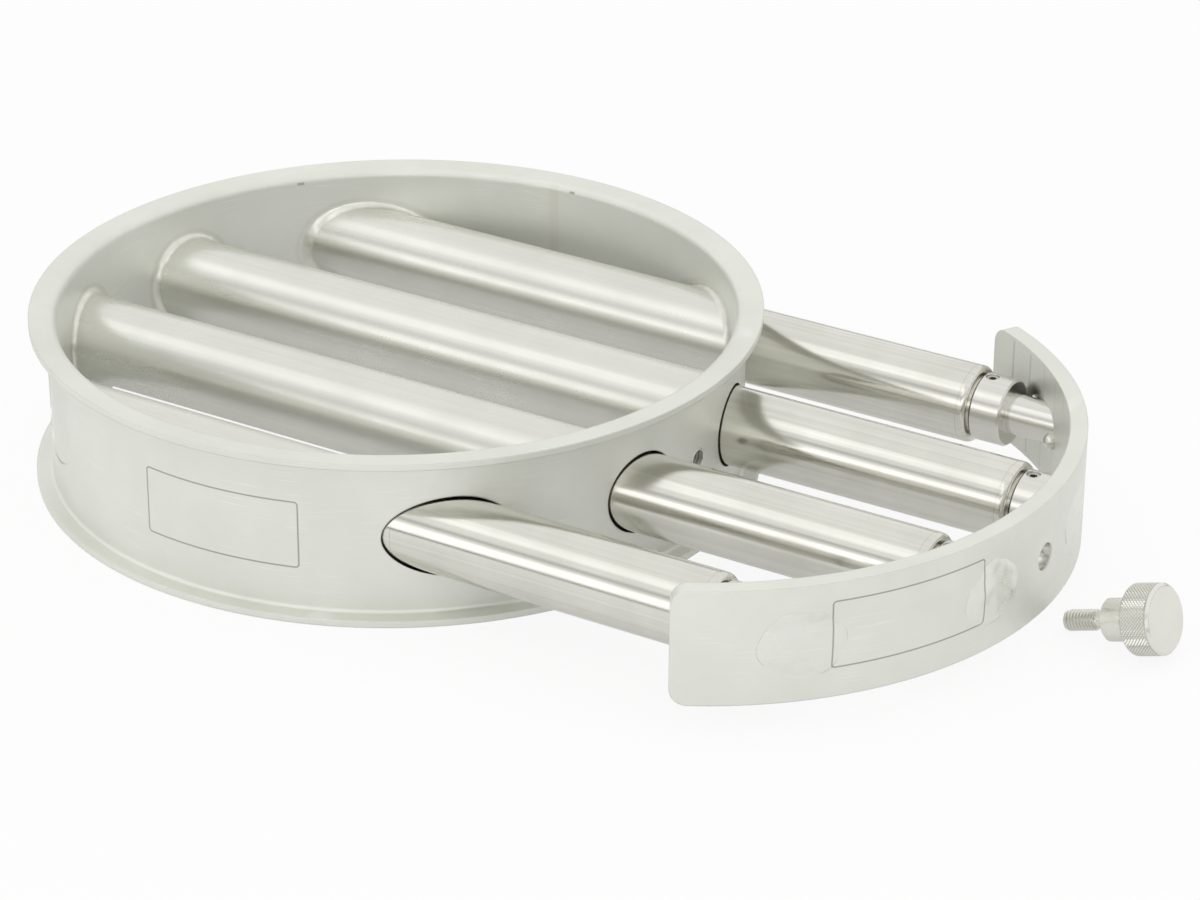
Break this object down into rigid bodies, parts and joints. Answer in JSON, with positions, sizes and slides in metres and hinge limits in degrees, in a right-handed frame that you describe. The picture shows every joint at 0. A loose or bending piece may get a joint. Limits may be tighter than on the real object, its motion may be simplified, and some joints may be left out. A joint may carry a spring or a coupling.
{
  "type": "magnetic grate separator",
  "caption": "Round lipped steel ring with closed sleeves across its bore, and magnet bars on a curved pull plate that slide out of the sleeves to drop the caught iron.",
  "frame": {"origin": "on the ring's axis, in the plane of its lower face", "axes": "+Z along the ring's axis, up; +X along the bars, the way the extractor is drawn out"},
  "size_m": [0.3544, 0.214, 0.05],
  "materials": {
    "pickled_steel": "matte, pickled",
    "sleeve_steel": "satin, drawn tube",
    "bar_steel": "satin polished along the bar",
    "screw_steel": "turned",
    "magnet": "plated",
    "pole_steel": "turned"
  },
  "bodies": {
    "housing": {"ring_housing": "pickled_steel", "sleeve_1": "sleeve_steel", "sleeve_2": "sleeve_steel", "sleeve_3": "sleeve_steel", "sleeve_4": "sleeve_steel", "sleeve_cap_1": "pickled_steel", "sleeve_cap_2": "pickled_steel", "sleeve_cap_3": "pickled_steel", "sleeve_cap_4": "pickled_steel"},
    "extractor": {"pull_plate": "pickled_steel", "coupling_1": "bar_steel", "coupling_2": "bar_steel", "coupling_3": "bar_steel", "coupling_4": "bar_steel", "bar_tube_1": "bar_steel", "bar_tube_2": "bar_steel", "bar_tube_3": "bar_steel", "bar_tube_4": "bar_steel", "bar_nose_1": "bar_steel", "bar_nose_2": "bar_steel", "bar_nose_3": "bar_steel", "bar_nose_4": "bar_steel", "bar_end_1": "bar_steel", "bar_end_2": "bar_steel", "bar_end_3": "bar_steel", "bar_end_4": "bar_steel", "magnets_1": "magnet", "magnets_2": "magnet", "magnets_3": "magnet", "magnets_4": "magnet", "pole_discs_1": "pole_steel", "pole_discs_2": "pole_steel", "pole_discs_3": "pole_steel", "pole_discs_4": "pole_steel", "grub_screws": "screw_steel", "lock_screw": "screw_steel"}
  },
  "joints": [
    {"name": "extractor_slide", "type": "slide", "parent": "housing", "child": "extractor", "axis": [1, 0, 0], "range_m": [-0.1015, 0.085]}
  ]
}
